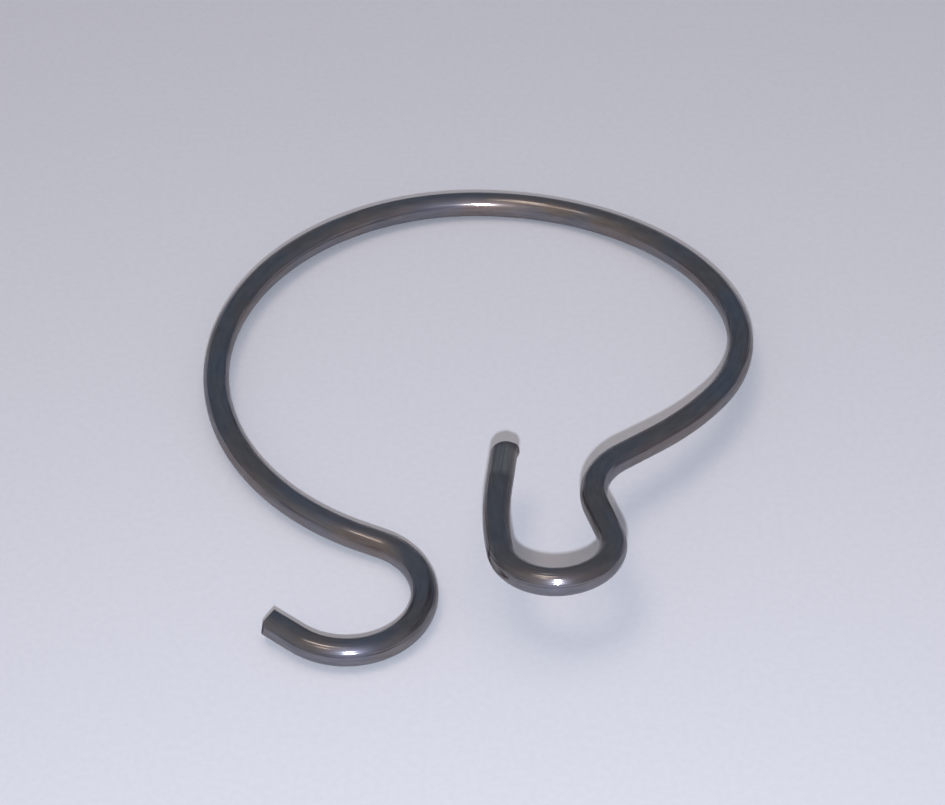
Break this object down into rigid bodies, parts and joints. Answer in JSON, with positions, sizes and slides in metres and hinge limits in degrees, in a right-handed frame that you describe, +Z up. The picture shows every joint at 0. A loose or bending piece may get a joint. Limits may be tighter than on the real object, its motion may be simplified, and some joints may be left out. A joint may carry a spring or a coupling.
{
  "type": "wire hitch clip",
  "caption": "Spring clip bent from round wire: an open round loop with a flat J hook on its left and, on its right, a raised narrow U finger that ends in a free leg.",
  "frame": {"origin": "centre of the round loop, on the surface that the clip lies on", "axes": "+Z up from that surface, +Y from the loop's centre to its back, +X to the side of the U finger"},
  "size_m": [0.0429, 0.0523, 0.0083],
  "materials": {
    "spring_steel": "dark oil-tempered spring wire, satin with a thin film of oil"
  },
  "bodies": {
    "root": {"spring_wire": "spring_steel"}
  },
  "joints": []
}
